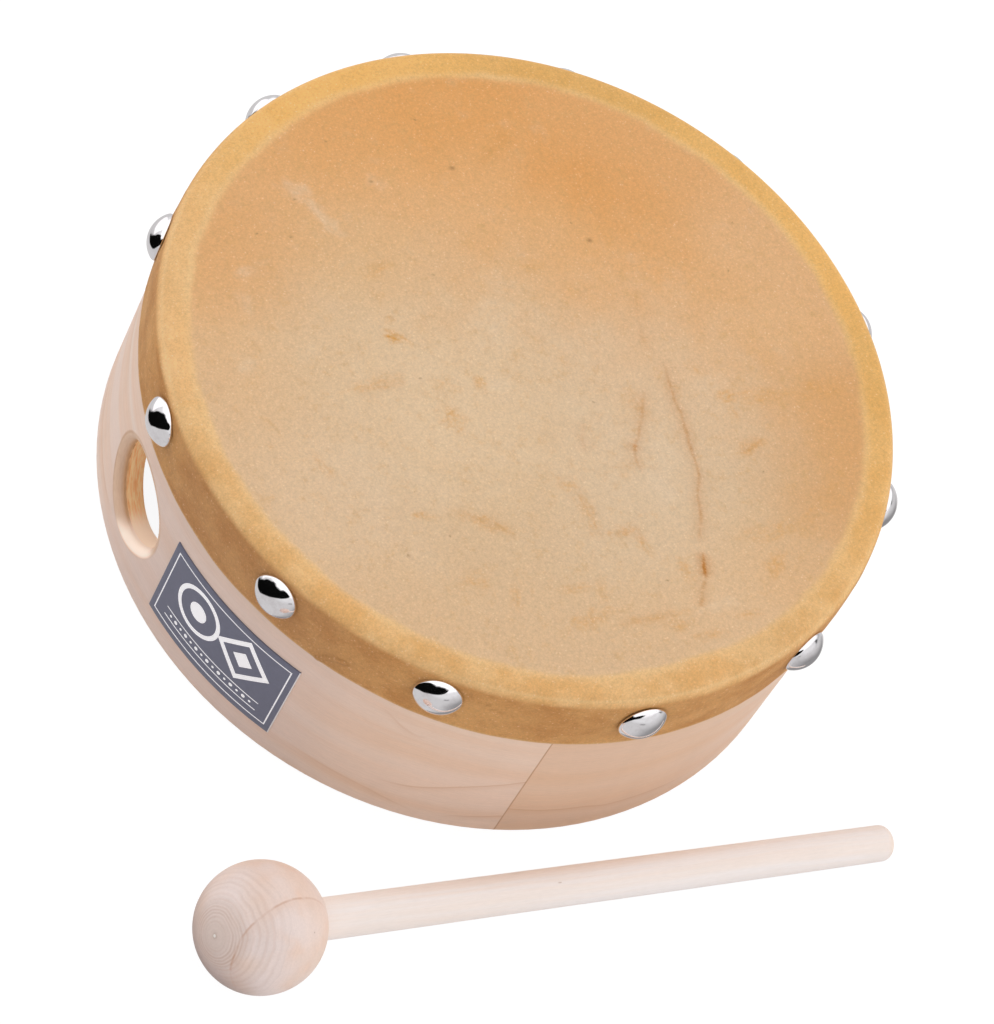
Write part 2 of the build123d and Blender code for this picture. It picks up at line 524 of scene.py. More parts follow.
def shell_inner_material():
    mat = Material("inner_strip_wood")
    x, y, z = mat.xyz
    along, radius = strip_coords(mat, SEAM - 180.0)
    grain_z = z + (mat.noise((along * 0.009, z * 0.012, 5.0)) - 0.5) * 16.0
    bands = mat.noise((along * 0.004, grain_z * 0.13, radius * 0.06), detail=3, rough=0.55)
    fibre = mat.noise((along * 0.10, grain_z * 2.2, radius * 1.4), detail=3, rough=0.6)
    color = mat.mix(bands.ramp(0.33, 0.72), (231, 201, 170), (216, 172, 126))
    color = mat.scaled(color, 0.92 + (fibre - 0.5) * 0.22 + 0.06)
    # end grain in the grip hole: deeper orange tan with layered streaks, with painted light
    # making it pale low on its -Y side
    rise, hole_r, well = hole_coords(mat)
    hole = hole_r.ramp(15.0, 14.6) * x.ramp(-80.0, -90.0)
    streak = mat.noise((radius * 1.9, rise * 0.22, y * 0.22), detail=3, rough=0.65)
    hole_color = mat.tint(mat.mix(streak.ramp(0.30, 0.68), (236, 172, 116), (254, 214, 162)),
                          (well.ramp(8.5, 13.6), (255, 226, 200)))
    color = mat.mix(hole, color, hole_color)
    # dark, ragged line next to the outer strip, strong high in the hole and faint low on its -Y
    # side
    ply_line = radius.ramp(98.02, 98.35)
    ragged = mat.noise((rise * 0.45, y * 0.45, radius * 0.8)).ramp(0.30, 0.62)
    upper = (rise + y * 0.5).ramp(-9.0, 6.0, first=0.25)
    color = mat.mix(ply_line * well.ramp(9.0, 13.0, first=1.0, last=0.25)
                    * (0.6 + hole * (upper - 0.6)) * (0.30 + ragged * 0.55),
                    color, (166, 104, 62))
    # the end grain in the hole glows faintly: painted light
    return mat.finish(
        Base_Color=color, Roughness=0.62,
        Normal=mat.bump(fibre * 0.6 + streak * 0.5, depth=0.09, strength=0.6),
        Specular_IOR_Level=0.25, Emission_Color=hole_color, Emission_Strength=hole * 0.17)


# ---------------------------------------------------------------------------
# skin
# ---------------------------------------------------------------------------
# pale and amber patches of the head: centre x, y, outer and inner radius, strength, colour
SKIN_PATCHES = [
    (30, -14, 52, 10, 0.30, (244, 222, 194)), (-68, -34, 34, 8, 0.28, (248, 226, 200)),
    (10, -48, 34, 8, 0.22, (244, 222, 194)), (-40, 40, 24, 6, 0.24, (240, 190, 128)),
]
# by angle: warmth round the edge of the head, above 0 amber and below 0 pale
RIM_WARMTH = [
    (-180, -7), (-165, -11), (-140, -10), (-110, -12), (-80, -13), (-70, -16), (-60, -7),
    (-48, -4), (-40, 5), (-20, 2), (0, -10), (20, -14), (40, -7), (60, -5), (80, 0), (90, 8),
    (110, 14), (130, 9), (145, 14), (160, 8), (170, -3), (180, -7)]
# by angle: brightness of the ring over the bearing edge
RING_SHADE = [
    (-180, 1.03), (-170, 1.0), (-150, 1.03), (-140, 1.05), (-120, 0.99), (-110, 1.03),
    (-90, 1.0), (-80, 1.03), (-70, 0.94), (-60, 0.975), (-40, 0.99), (-20, 0.965), (-5, 0.94),
    (8, 1.01), (30, 0.985), (45, 0.96), (60, 0.92), (72, 0.925), (85, 0.99), (100, 1.045),
    (120, 1.07), (132, 1.01), (150, 1.04), (160, 1.02), (170, 1.07), (180, 1.03)]
# by angle: strength of the painted highlight line on the corner
CREST_HIGHLIGHT = [
    (-180, 0.35), (-172, 0.10), (-130, 0.10), (-120, 0.55), (-100, 0.85), (-78, 0.85),
    (-60, 0.45), (0, 0.35), (140, 0.40), (150, 0.80), (172, 0.80), (180, 0.35)]


def skin_field(mat, far, angle, radius):
    """Broad colour of the head: creamy in the middle, amber on the +X +Y side."""
    cloud = mat.noise(mat.place, scale=0.022, detail=3, rough=0.55) - 0.5
    cloudlet = mat.noise(mat.place, scale=0.085, detail=3, rough=0.6) - 0.5

    def patch(x, y, outer, inner, spread):
        offset = mat.vec("SUBTRACT", mat.place, mat.join((x, y, SKIN_TOP)))
        return (mat.vec("LENGTH", offset) + cloudlet * spread).ramp(outer, inner)

    drift = far + cloud * 52.0 + cloudlet * 16.0
    color = mat.tint(
        mat.mix(drift.ramp(-18.0, 48.0), (239, 205, 164), (245, 190, 131)),
        (drift.ramp(38.0, 88.0), (241, 170, 93)),
        (radius.ramp(58.0, 94.0) * 0.50, (245, 186, 122)),
        # greyer and flatter on the -X -Y side
        ((far + cloud * 30.0).ramp(-28.0, -78.0) * 0.55, (230, 197, 158)))
    for x, y, outer, inner, strength, shade in SKIN_PATCHES:
        color = mat.mix(patch(x, y, outer, inner, spread=24.0) * strength, color, shade)
    # painted light: a little brighter towards -X and darker towards +X
    color = mat.scaled(color, 1.0 + mat.xyz[0] * -0.00034)
    color = mat.mix(patch(-30.0, -12.0, 42.0, 6.0, spread=40.0) * 0.50, color, (248, 220, 184))
    warmth = mat.curve(angle, RIM_WARMTH)
    rim = radius.ramp(50.0, 82.0)
    color = mat.tint(color,
                     ((warmth * 0.030).max(0.0) * rim, (240, 172, 98)),
                     ((warmth * -0.030).max(0.0) * rim, (246, 212, 172)))
    dim = angle.ramp(-62.0, -35.0) * angle.ramp(2.0, -12.0) * rim
    return mat.scaled(color, 1.0 + dim * -0.05)


def skin_ring_color(mat, far, angle):
    """Where the skin lies on the bearing edge."""
    mottle = mat.noise(mat.place, scale=0.07, detail=3, rough=0.6)
    color = mat.tint(mat.mix(mottle.ramp(0.35, 0.65), (240, 187, 121), (252, 206, 145)),
                     (far.ramp(-60.0, 60.0, last=0.75), (252, 196, 112)),
                     (angle.ramp(128.0, 150.0) * 0.45, (252, 208, 152)))
    return mat.scaled(color, mat.curve(angle, RING_SHADE))


def skin_band_color(mat):
    """Tanned, blotchy folded band, darker at 180 to 220 degrees or so."""
    x, y, z = mat.xyz
    cloud = mat.noise((x * 0.06, y * 0.06, z * 0.09), detail=4, rough=0.62)
    spots = mat.noise((x * 0.25, y * 0.25, z * 0.30), detail=3, rough=0.6)
    dark_side = x.ramp(-40.0, -90.0) * y.ramp(10.0, -30.0) * y.ramp(-88.0, -60.0)
    return mat.tint(mat.mix(cloud.ramp(0.30, 0.70), (208, 147, 84), (228, 172, 108)),
                    (spots.ramp(0.55, 0.78, last=0.30), (178, 120, 62)),
                    (dark_side * 0.32, (190, 136, 94)))


def skin_material():
    mat = Material("natural_skin")
    x, y, _ = mat.xyz
    place = mat.place
    ring, band = mat.attr("ring"), mat.attr("band")
    far = x * 0.633 + y * 0.774
    angle = mat.math("ARCTAN2", y, x) * DEGREES
    radius = mat.hypot(x, y)
    mottle = mat.noise(place, scale=0.30, detail=4, rough=0.65)
    pale = mat.noise(place, scale=0.16)
    tear = mat.noise((x * 0.9, y * 0.9, 3.0), detail=3, rough=0.65)
    color = mat.tint(
        skin_field(mat, far, angle, radius),
        # faint brown mottling and paler scuffs
        (mottle.ramp(0.50, 0.80, last=0.42), (226, 178, 116)),
        (pale.ramp(0.58, 0.80, last=0.12), (243, 218, 186)),
        (mat.attr("scuff") * 0.75, (250, 226, 196)),
        (ring, skin_ring_color(mat, far, angle)),
        # painted highlight along the inner boundary of the ring
        (mat.attr("halo") * 0.62, (253, 212, 154)),
        (band, skin_band_color(mat)),
        # painted highlight along the rolled corner
        (mat.attr("crest") * mat.curve(angle, CREST_HIGHLIGHT) * 0.62, (255, 214, 156)),
        (mat.attr("cut") * 0.70, (240, 208, 158)),
        # stains, veins and dark follicles, then painted shade round each tack and along the
        # band's crease
        ((mat.attr("stain") * tear.ramp(0.28, 0.66, first=0.30, last=1.25) * 1.12).min(1.0),
         (232, 172, 96)),
        ((mat.attr("vein") * tear.ramp(0.25, 0.60, first=0.60, last=1.1) * 1.06).min(1.0),
         (206, 138, 66)),
        (mat.attr("pore") * 0.70, (150, 104, 62)),
        (mat.attr("band_shade") * 0.50, (150, 98, 52)))
    # pebbled grain
    warp = mat.scaled(mat.noise(place, scale=0.35, out=1), 1.6)
    pebble = mat.voronoi(mat.vec("ADD", place, warp), scale=1.05)
    fine = mat.noise(place, scale=2.2, detail=3, rough=0.62)
    medium = mat.noise(place, scale=0.85, rough=0.55)
    # pale specks on the pebble tops, part grain tone and part painted highlight
    light = (pebble.ramp(0.28, 0.05)
             * mat.noise(place, scale=0.5, detail=1).ramp(0.44, 0.64))
    color = mat.mix(light * 0.40, color, (253, 234, 208))
    color = mat.scaled(color, 1.0 + (fine - 0.5) * 0.36 + (medium - 0.5) * 0.11
                       + (pebble - 0.4) * -0.11 + light * 0.05
                       + (mat.noise(place, scale=0.40) - 0.5) * 0.07
                       + ring.max(band) * (fine - 0.5) * 0.14)
    dots = mat.voronoi(place, scale=0.11)
    color = mat.mix(dots.ramp(0.026, 0.010) * 0.30, color, (160, 112, 70))
    height = pebble * -0.60 + fine * 0.60 + medium * 0.40 + mottle * 0.35
    return mat.finish(
        Base_Color=color, Roughness=0.50 + fine * 0.15 + ring * -0.03,
        Normal=mat.bump(height, depth=0.11, strength=0.65), Specular_IOR_Level=0.25,
        translucent=0.16, Subsurface_Weight=0.05, Subsurface_Radius=(1.0, 0.6, 0.3),
        Subsurface_Scale=0.0012)


def skin_under_material():
    mat = Material("skin_flesh_side")
    cloud = mat.noise(mat.place, scale=0.05, detail=4, rough=0.6)
    fine = mat.noise(mat.place, scale=0.9, detail=3, rough=0.6)
    color = mat.mix(cloud.ramp(0.3, 0.7), (230, 188, 132), (240, 208, 160))
    return mat.finish(
        Base_Color=mat.scaled(color, 0.90 + fine * 0.2), Roughness=0.72,
        Normal=mat.bump(fine, depth=0.12, strength=0.6), Specular_IOR_Level=0.2,
        translucent=0.38, Subsurface_Weight=0.05, Subsurface_Radius=(1.0, 0.6, 0.3),
        Subsurface_Scale=0.0012)


# ---------------------------------------------------------------------------
# metal and badge
# ---------------------------------------------------------------------------
def chrome_material():
    mat = Material("polished_chrome")
    x, y, z = mat.xyz
    smudge = mat.noise(mat.place, scale=0.35, detail=3, rough=0.6)
    scratch = mat.noise((x * 2.0, y * 2.0, z * 0.5), scale=2.2, detail=3, rough=0.7)
    return mat.finish(
        Base_Color=mat.mix(smudge.ramp(0.4, 0.8), (242, 240, 243), (230, 226, 229)),
        Metallic=1.0,
        Roughness=0.045 + smudge.ramp(0.45, 0.8) * 0.06 + scratch.ramp(0.62, 0.75) * 0.03,
        Normal=mat.bump(smudge, depth=0.045, strength=0.30))


# dark inside of the hollow caps: painted shade
def cap_shade_material():
    mat = Material("cap_inside_shade")
    mottle = mat.noise(mat.place, scale=0.8, detail=3, rough=0.6)
    return mat.finish(Base_Color=mat.mix(mottle, (52, 36, 30), (84, 62, 54)),
                      Metallic=0.3, Roughness=0.6)


def steel_material():
    mat = Material("drawn_steel")
    mottle = mat.noise(mat.place, scale=1.2, detail=3, rough=0.6)
    return mat.finish(Base_Color=mat.mix(mottle, (150, 150, 155), (196, 196, 200)),
                      Metallic=1.0, Roughness=0.25 + mottle * 0.2)


def badge_material(name, dark, light, rough, glow=0.0):
    mat = Material(name)
    mottle = mat.noise(mat.place, scale=0.5, detail=3, rough=0.6)
    fine = mat.noise(mat.place, scale=6.0)
    return mat.finish(
        Base_Color=mat.scaled(mat.mix(mottle, dark, light), 0.96 + fine * 0.08),
        Roughness=rough + mottle * 0.12, Normal=mat.bump(fine, depth=0.02, strength=0.3),
        Specular_IOR_Level=0.45, Emission_Color=srgb(*light), Emission_Strength=glow)


# ---------------------------------------------------------------------------
# beater wood; both pieces use the beater's frame
# ---------------------------------------------------------------------------
# growth rings round the ball's turning axis: radius, width, strength
BALL_RINGS = [
    (3.4, 0.20, 0.20), (4.4, 0.22, 0.28), (5.3, 0.22, 0.40), (6.1, 0.20, 0.36),
    (6.9, 0.24, 0.46), (7.7, 0.20, 0.32), (8.7, 0.24, 0.28), (9.9, 0.22, 0.20),
    (11.0, 0.26, 0.18), (12.3, 0.24, 0.16), (13.4, 0.22, 0.18), (14.6, 0.2, 0.14)]


def ball_material():
    mat = Material("ball_wood")
    place = mat.place
    x, _, z = mat.xyz
    pole = tuple(to_beater(POLE))
    along = mat.vec("DOT_PRODUCT", place, pole)
    on_axis = mat.scaled(mat.join(pole), along)
    radius = mat.vec("LENGTH", mat.vec("SUBTRACT", place, on_axis))
    warped = radius + ((mat.noise(place, scale=0.08) - 0.5) * 2.4
                       + (mat.noise(place, scale=0.35) - 0.5) * 0.35)
    rings = mat.noise((warped * 0.85, along * 0.010, 0.0), detail=3, rough=0.62)
    fine_rings = mat.noise((warped * 2.3, along * 0.02, 4.0), rough=0.6)
    blotch = mat.noise(place, scale=0.06)
    fine = mat.noise((warped * 5.0, along * 0.25, 1.0), rough=0.6)
    speck = mat.noise(place, scale=1.6, rough=0.6)

    # warmer towards the handle; painted shade low on the far side from it and towards the bottom
    color = mat.tint(
        mat.mix(blotch.ramp(0.35, 0.68), (240, 222, 216), (238, 211, 196)),
        (x.ramp(-4.0, 13.0) * 0.34, (240, 216, 200)),
        (x.ramp(1.0, -13.0) * z.ramp(9.0, -9.0) * 0.92, (166, 143, 136)))
    # painted shade: darker towards the bottom
    color = mat.scaled(color, 1.0 + z.ramp(0.0, -14.0) * -0.10)
    warm_cloud = mat.noise(place, scale=0.13, detail=3, rough=0.6)
    color = mat.tint(
        color,
        (warm_cloud.ramp(0.50, 0.68) * x.ramp(-9.0, 4.0) * 0.30, (238, 202, 180)),
        (warped.ramp(10.5, 6.5) * along.ramp(0.0, 4.0) * 0.42, (214, 192, 180)))
    color = mat.scaled(
        color, 1.0 + (rings - 0.5) * warped.ramp(7.0, 13.0, first=0.20, last=0.11)
        + (fine_rings - 0.5) * warped.ramp(7.0, 13.0, first=0.12, last=0.09)
        + (fine - 0.5) * 0.09 + (speck - 0.5) * 0.14)
    for ring_r, width, strength in BALL_RINGS:
        shifted = mat.vec("ADD", place, (ring_r * 3.0, 0.0, 0.0))
        broken = mat.noise(shifted, scale=0.13, detail=1).ramp(0.30, 0.62, first=0.35)
        ring = line_mask(warped - ring_r, width * 0.6, soft=0.26)
        color = mat.mix(ring * strength * broken * along.ramp(-2.0, 4.0), color,
                        (196, 158, 138))
    color = mat.mix(radius.ramp(5.2, 3.0) * along.ramp(0.0, 2.0) * 0.22, color, (206, 184, 170))

    # one darker growth layer cuts the ball and fades out low down
    layer = (mat.vec("DOT_PRODUCT", place, tuple(to_beater(LAYER_NORMAL)))
             - (8.5 + (mat.noise(place, scale=0.12) - 0.5) * 0.9))
    fade = (z.ramp(-5.5, 3.0) * x.ramp(14.5, 8.0, first=0.15)
            * mat.noise(place, scale=0.30).ramp(0.34, 0.60, first=0.30))
    warm = layer.ramp(4.0, -3.0) * mat.noise(place, scale=0.09, detail=1).ramp(0.42, 0.62)
    pores = mat.voronoi(place, scale=0.14)
    color = mat.tint(
        color,
        (line_mask(layer, 0.10, soft=0.34) * fade * 0.52, (200, 148, 116)),
        (layer.ramp(-0.2, 0.5) * layer.ramp(3.6, 0.5) * fade * 0.17, (222, 180, 156)),
        (warm * 0.20 * x.ramp(-6.0, 6.0), (240, 210, 192)),
        # small dark ring round a white dot at the centre of the turning marks
        (radius.ramp(1.0, 0.5) * along.ramp(0.0, 2.0) * 0.35, (176, 148, 130)),
        (radius.ramp(0.50, 0.34) * along.ramp(0.0, 2.0) * 0.9, (246, 240, 236)),
        (pores.ramp(0.040, 0.018) * 0.45, (150, 110, 84)))
    height = rings * 0.8 + fine_rings * 0.5 + fine * 0.3 + speck * 0.2
    return mat.finish(
        Base_Color=color, Roughness=0.50, Normal=mat.bump(height, depth=0.06, strength=0.6),
        Coat_Weight=0.05, Coat_Roughness=0.4, Specular_IOR_Level=0.25)


def handle_material():
    mat = Material("handle_wood")
    x, y, z = mat.xyz
    grain_y = y + (mat.noise((x * 0.015, 0.0, 0.0)) - 0.5) * 3.0
    rings = mat.noise((x * 0.006, grain_y * 0.38, z * 0.12), detail=3, rough=0.55)
    fibre = mat.noise((x * 0.09, y * 2.4, z * 2.4), detail=3, rough=0.6)
    fleck = mat.noise((x * 0.5, y * 3.4, z * 3.4), detail=1)
    mottle = mat.noise(mat.place, scale=0.10)
    dash = mat.voronoi((x * 0.12, y * 1.1, z * 1.1))
    color = mat.tint(mat.mix(rings.ramp(0.36, 0.70), (252, 243, 240), (251, 236, 227)),
                     (mottle.ramp(0.45, 0.75, last=0.35), (250, 238, 231)))
    color = mat.scaled(color, 1.0 + (fibre - 0.5) * 0.08 + (fleck - 0.5) * 0.08
                       + dash.ramp(0.22, 0.06) * -0.03)
    # end grain on the last of the free end, and a slight darkening towards its rim
    end_rings = mat.noise(((y + 9.0) * 1.6, z * 0.5, 0.0), detail=3, rough=0.6)
    pores = mat.voronoi((x * 0.3, y, z), scale=0.16)
    color = mat.tint(
        color,
        (x.ramp(185.6, 187.4) * 0.45, mat.mix(end_rings, (214, 184, 160), (240, 220, 204))),
        (pores.ramp(0.045, 0.02) * 0.45, (176, 136, 106)))
    return mat.finish(
        Base_Color=color, Roughness=0.50,
        Normal=mat.bump(fibre * 0.7 + fleck * 0.3, depth=0.05, strength=0.5),
        Specular_IOR_Level=0.25, Coat_Weight=0.04, Coat_Roughness=0.4)


# ---------------------------------------------------------------------------
# drumhead: membrane, rolled edge and folded band, as one closed mesh
# ---------------------------------------------------------------------------
# radius at which the skin leaves the bearing edge, every 10 degrees from 0
EDGE_RADII = [
    93.0, 92.8, 93.0, 92.5, 92.5, 92.5, 92.8, 92.8, 92.5, 92.8, 92.8, 93.0,
    93.0, 93.0, 93.8, 94.2, 94.2, 94.2, 94.5, 94.8, 95.0, 95.0, 95.0, 95.2,
    94.5, 94.8, 94.8, 92.9, 92.6, 93.8, 93.8, 93.5, 93.2, 93.2, 93.0, 92.8]
# (x, y) path, half width, strength
VEINS = [
    ([(35.5, -3), (36.1, -8), (35, -15.4), (35.6, -21), (35.5, -27.3), (34.7, -33.5),
      (34, -39.6), (31.7, -46.2), (30.2, -51.4), (27.1, -58.6), (26.7, -61.5)], 0.60, 0.50),
    ([(35.5, -24), (34.7, -33.5), (34, -39.6), (32, -46)], 0.85, 0.30),
    ([(27.2, -61.8), (26.6, -63.5), (25.9, -66.8), (25.2, -70.2)], 0.62, 1.15),
    ([(25.4, -69.5), (23, -72.4), (21.6, -75.5), (20.5, -78.1)], 0.50, 0.50),
    ([(28, -11), (24, -20), (21.3, -25.5), (19, -28.3), (18.3, -32.9), (18.7, -37.5)],
     0.62, 0.38),
    ([(19.6, -27.6), (18.8, -29), (18.7, -30.5)], 0.70, 0.75),
    ([(7.6, -19.5), (5.2, -24), (4.5, -29)], 0.80, 0.18),
    ([(37, 21), (35, 13), (33, 5), (33.8, -2)], 0.80, 0.12),
    ([(4, -54), (7, -53.2), (10.4, -54.2), (11.4, -58.8)], 0.55, 0.16),
    ([(-53, -2.8), (-46, -2), (-38, -0.6)], 0.90, 0.12),
    ([(-37, -40.5), (-31, -44.5), (-22.5, -50.8)], 0.80, 0.10),
    ([(-5, -79), (5, -79.3), (14, -78.2)], 0.70, 0.13),
    ([(-0.6, -38), (-1.4, -44), (-0.4, -50), (0.6, -55)], 0.90, 0.08),
    ([(48, -34.2), (52, -33.4), (56.5, -31.2)], 0.75, 0.20),
    ([(4, 62), (9, 66.5), (17, 73)], 1.10, 0.11),
]
# small fibrous marks: x, y, half length, half width, direction, strength
STAINS = [
    (-37, 12, 3, 2, -30, 1), (-36.5, 18, 1.5, 1.5, 0, 0.35), (-47, -1.6, 9, 2, 8, 0.30),
    (-29, -14, 3.2, 4.6, 20, 0.50), (-18, -5, 2.6, 1.5, 80, 0.50),
    (-46.5, -41.2, 3.2, 1.3, -8, 0.50), (-30, -45.5, 8, 2.3, -30, 0.42),
    (-4, -38, 3, 2.6, 0, 0.38), (-1, -46, 9, 2.6, 92, 0.28), (7, -53.4, 4.2, 1.8, 0, 0.42),
    (11.3, -57.4, 4.2, 1.6, -72, 0.36), (-12, -68, 5, 1.6, 0, 0.36),
    (-5, -69, 4, 1.4, 80, 0.30), (-10.5, -77, 6.5, 2.4, 12, 0.45), (6, -79, 12, 1.5, 2, 0.28),
    (-38, -62, 4.5, 3.2, 0, 0.30), (-29, -68, 4.5, 2, 70, 0.30), (51, -17, 3.2, 2.2, 10, 0.55),
    (51, -21.5, 3.2, 1.4, 90, 0.34), (62, -18, 8, 2.4, 0, 0.30), (79, -18, 8, 3.4, 0, 0.32),
    (52.4, -33, 5.6, 2, 15, 0.42), (45, -7, 3, 2, -60, 0.28), (50, -59, 8.5, 2.6, 15, 0.34),
    (46, -69, 4.8, 2.8, 45, 0.48), (41.5, -58, 3.4, 1.4, 20, 0.30),
    (33, -82, 3.4, 1.3, 0, 0.46), (12, -82, 3.4, 1.8, 0, 0.44), (20.5, -86, 4.6, 1.4, 0, 0.36),
    (14, -35, 2.6, 3.4, 0, 0.26), (20.5, -66.5, 2.4, 3.6, 0, 0.46),
    (-35, 33.5, 4.6, 1.8, 35, 0.36), (9, 29, 3.4, 2.4, 0, 0.34), (11, 69, 9, 3, 40, 0.22),
    (-68, -24, 5, 1.6, -65, 0.28), (34, 36, 1.6, 4.2, 0, 0.26), (-29, -3, 4, 1.6, -30, 0.30),
    (24, -16, 2.2, 6, 20, 0.22), (70, -50, 9, 4, 40, 0.24), (60, -58, 7, 3, 40, 0.24)]
SCUFFS = [
    (-50, 60, 5, 3.2, -30, 0.55), (-45.5, 52, 9, 2, -62, 0.60), (-72, 36, 3, 2.4, 0, 0.45),
    (-80, 8, 2.8, 2.4, 0, 0.40), (-75, 27, 4, 2.4, 90, 0.32), (-8, 14, 9, 7, 40, 0.40),
    (-13, -6, 4.5, 3.6, 0, 0.42), (-2, 25, 7, 4, -20, 0.30), (-62, 10, 4, 3, 0, 0.25),
    (-27, 61, 3, 3, 0, 0.22), (22, -42, 3, 9, 12, 0.40), (27, -30, 4, 9, -12, 0.30),
    (48, -12, 5, 3, 20, 0.30), (25, -78, 7, 2, 10, 0.40), (-50, -52, 5, 9, 0, 0.20)]
# x, y, radius
PORES = [
    (-3.5, 63, 0.62), (28.5, 36, 0.60), (-28, 61, 0.36), (-51.5, 57.5, 0.32),
    (-65, 48, 0.30), (-56, 46, 0.28), (-54, -52, 0.36), (-34, -1, 0.28), (14, -69, 0.28),
    (73, 37, 0.32), (-37, 75, 0.28), (-9, 79.5, 0.30), (25, 42, 0.26), (53, -41, 0.26),
    (12, -14, 0.24), (-20, 30, 0.24), (-41, -48, 0.26), (66, 22, 0.24)]

SKIN_SEGS = 880
MEMBRANE_SAG = 0.16             # the membrane lies this far below the ring round it
LINER_GAP = 0.03                # between the skin's flesh side and the wood
# zones of the skin's profile, in order from the middle of the head outwards and back inside
TOP, CORNER, BAND, HEM, LINER, LINER_TOP = range(6)


def edge_radius(angle):
    """EDGE_RADII smoothed round the drum."""
    degrees = np.arange(0, 360, 1.0)
    radii = np.interp(degrees, np.arange(0, 360, 10), EDGE_RADII, period=360)
    kernel = np.exp(-0.5 * (np.arange(-18, 19) / 5.0) ** 2)
    kernel /= kernel.sum()
    radii = np.convolve(np.concatenate([radii[-18:], radii, radii[:18]]), kernel, mode="valid")
    return np.interp(angle % 360, np.append(degrees, 360.0), np.append(radii, radii[0]))


def skin_profile():
    """(radius, height, zone) rows, and how many of them are on the outside."""
    corner_r = SKIN_R - ROLL
    rows = [(r, SKIN_TOP, TOP) for r in
            (*np.linspace(0.6, 80, 190), *np.linspace(80, corner_r, 50)[1:])]
    for t in np.radians(np.linspace(0, 90, 21)[1:]):
        rows.append((corner_r + ROLL * math.sin(t), SKIN_TOP - ROLL + ROLL * math.cos(t), CORNER))
    rows += [(SKIN_R, z, BAND) for z in np.linspace(SKIN_TOP - ROLL, BAND_LOW + 0.35, 44)[1:]]
    liner_r = SHELL_R + LINER_GAP
    rows += [(SKIN_R - 0.10, BAND_LOW + 0.10, HEM), (SKIN_R - 0.35, BAND_LOW, HEM),
             (liner_r, BAND_LOW, HEM)]
    outside = len(rows)
    roll = 2.7
    rows += [(liner_r, z, LINER) for z in np.linspace(BAND_LOW + 1.0, WOOD_TOP - roll, 6)]
    for t in np.radians(np.linspace(90, 0, 8)[1:]):
        rows.append((SHELL_R - roll + (roll + LINER_GAP) * math.sin(t),
                     WOOD_TOP - roll + (roll + LINER_GAP) * math.cos(t), LINER))
    rows += [(r, WOOD_TOP + LINER_GAP, LINER_TOP)
             for r in np.linspace(SHELL_R - roll, 0.6, 26)[1:]]
    return np.array(rows), outside


def vein_marks(x, y, place):
    """Colour strength of the veins, and the height of their ridges."""
    vein = np.zeros_like(x)
    ridge = np.zeros_like(x)
    shifted_x = x + 1.2 * gnoise(place * 0.16)
    shifted_y = y + 1.2 * gnoise(place * 0.16 + 40)
    vary = np.clip(0.95 + 0.8 * gnoise(place * 0.25 + 9), 0.5, 1.25)
    for path, width, strength in VEINS:
        distance, along = path_distance(shifted_x, shifted_y, soften(path))
        if strength < 0.7:
            fade = smooth(along, -0.02, 0.15) * smooth(along, 1.02, 0.85)
        else:
            fade = smooth(along, -0.05, 0.25) * smooth(along, 1.05, 0.75)
        vein = np.maximum(vein, strength * bell(distance, width) * fade * vary)
        vein = np.maximum(vein, 0.42 * strength * bell(distance, 3.4 * width) * fade)
        ridge += strength * bell(distance, 1.6 * width) * fade
    return vein, ridge


def patch_marks(x, y, table, seed, stroke):
    """Ragged ellipses streaked along their length by stroke."""
    out = np.zeros_like(x)
    for n, (mark_x, mark_y, length, width, turn, strength) in enumerate(table):
        near = np.hypot(x - mark_x, y - mark_y) < 1.8 * max(length, width) + 3
        cos, sin = math.cos(math.radians(turn)), math.sin(math.radians(turn))
        along = (x[near] - mark_x) * cos + (y[near] - mark_y) * sin
        across = -(x[near] - mark_x) * sin + (y[near] - mark_y) * cos
        edge = (np.sqrt((along / length) ** 2 + (across / width) ** 2)
                + 0.9 * gnoise(points(along * 0.35, across * 0.35, seed + n)))
        streak = np.clip(0.72 + stroke * gnoise(points(along * 0.30, across * 0.95,
                                                       seed + 50 + n)), 0.0, 1.25)
        out[near] = np.maximum(out[near], strength * smooth(edge, 1.50, 0.10) * streak)
    return out


def band_relief(angle, z, on_band):
    """Outward push of the band round the tacks and at a low crease, and its shading."""
    push = np.zeros_like(z)
    band_shade = np.zeros_like(z)
    for n, tack in enumerate(TACK_ANGLES):
        along = np.radians((angle - tack + 180) % 360 - 180) * SKIN_R
        rise = z - TACK_Z
        distance = np.hypot(along, rise)
        press = 0.06 * smooth(distance, 11.5, 6.8)
        fold = (0.10 * np.cos(np.arctan2(rise, along) * 7 + 2.1 * n)
                * bell(distance - 8.2, 2.6) * (distance > 5))
        push += ((press + fold) * on_band * smooth(z, BAND_LOW, BAND_LOW + 2.0)
                 * smooth(z, 68.5, 66.8))
        # painted shade round each tack
        beyond = np.maximum(distance - 6.2, 0)
        for strength, width in ((0.75, 0.9), (0.22, 3.0)):
            band_shade = np.maximum(band_shade, strength * bell(beyond, width) * on_band)
    # a small crease low on the band
    along = np.radians(angle) * SKIN_R - math.radians(222.0) * SKIN_R
    rise = z - 53.2
    crease = soften([(-2.2, -2.6), (-0.6, 0.2), (1.6, 2.2), (4.5, 3.4)])
    distance, _ = path_distance(along, rise, crease)
    push += 0.28 * bell(distance, 0.8) * on_band
    # painted shade along and round the crease
    band_shade = np.maximum(band_shade, 0.8 * bell(distance - 0.8, 0.5) * on_band)
    band_shade = np.maximum(band_shade, 0.30 * bell(np.hypot(along - 1, rise - 1), 5.0) * on_band)
    return push, band_shade


